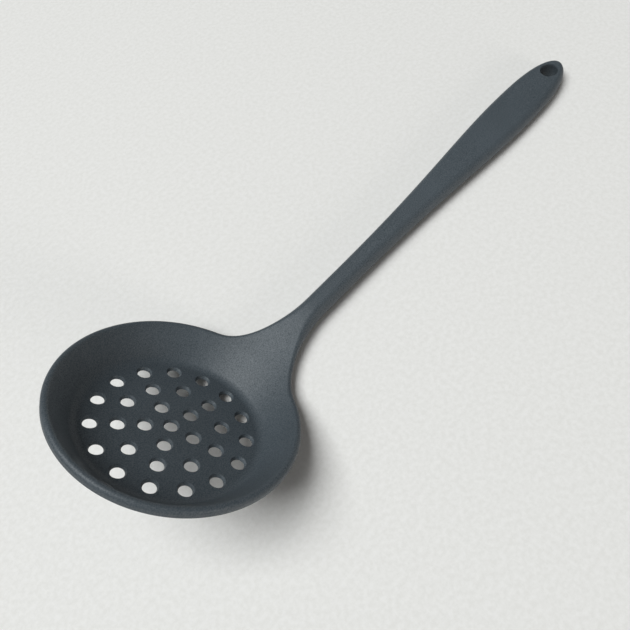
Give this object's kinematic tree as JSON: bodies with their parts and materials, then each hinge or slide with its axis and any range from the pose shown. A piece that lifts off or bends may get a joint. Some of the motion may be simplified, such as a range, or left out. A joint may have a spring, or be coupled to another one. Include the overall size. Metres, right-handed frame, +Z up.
{
  "type": "skimmer",
  "caption": "Kitchen skimmer: a shallow round perforated dish on a long rising handle with a hanging eye, moulded in soft silicone over a stiff core, for lifting food out of hot liquid.",
  "frame": {"origin": "centre of the bounding box's bottom face: the table that the skimmer lies on, resting on the dish's heel and the handle's end", "axes": "+X from the dish to the hanging eye, +Y across the dish, +Z up from the table"},
  "size_m": [0.3312, 0.1048, 0.0652],
  "materials": {
    "slate_silicone": "matte, fine grained",
    "dark_nylon": "matte"
  },
  "bodies": {
    "root": {"silicone_jacket": "slate_silicone", "nylon_core": "dark_nylon"}
  },
  "joints": []
}
